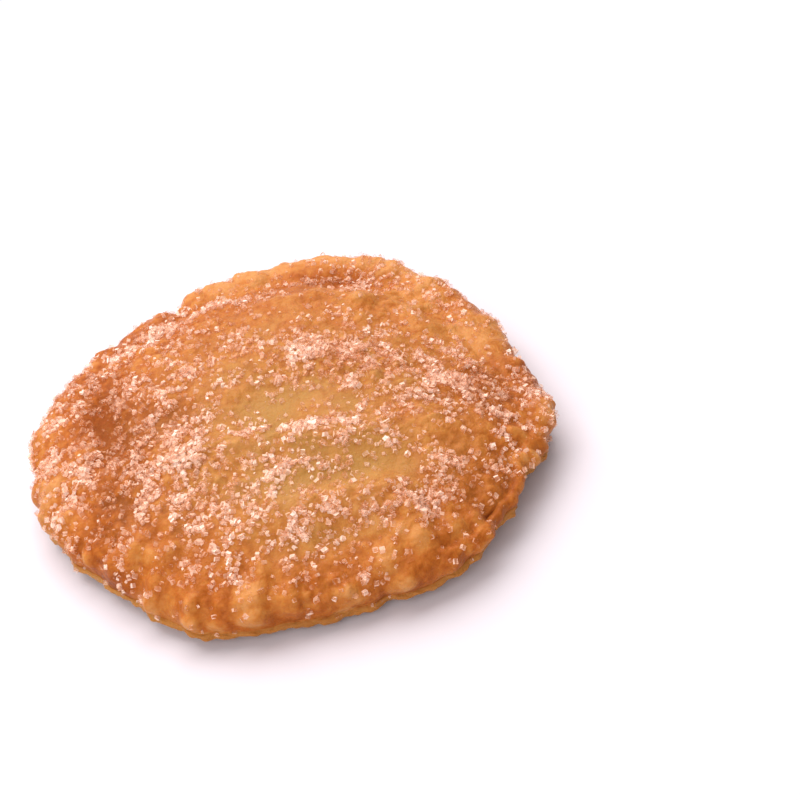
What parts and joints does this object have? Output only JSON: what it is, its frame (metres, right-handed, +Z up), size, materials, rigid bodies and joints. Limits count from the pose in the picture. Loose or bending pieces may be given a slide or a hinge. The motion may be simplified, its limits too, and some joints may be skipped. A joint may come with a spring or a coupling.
{
  "type": "apple fritter",
  "caption": "Round deep-fried puff pastry apple fritter with a ruffled, puffed rim, a blistered golden crust and clumps of cinnamon sugar on top.",
  "frame": {"origin": "on the table under the middle of the fritter's bounding box", "axes": "+Z up through the crown, out of the sugared side; +X to the right along the picture's long axis and +Y away from the viewer"},
  "size_m": [0.119, 0.115, 0.0235],
  "materials": {
    "crust": "satin"
  },
  "bodies": {
    "root": {"fritter": "crust"}
  },
  "joints": []
}
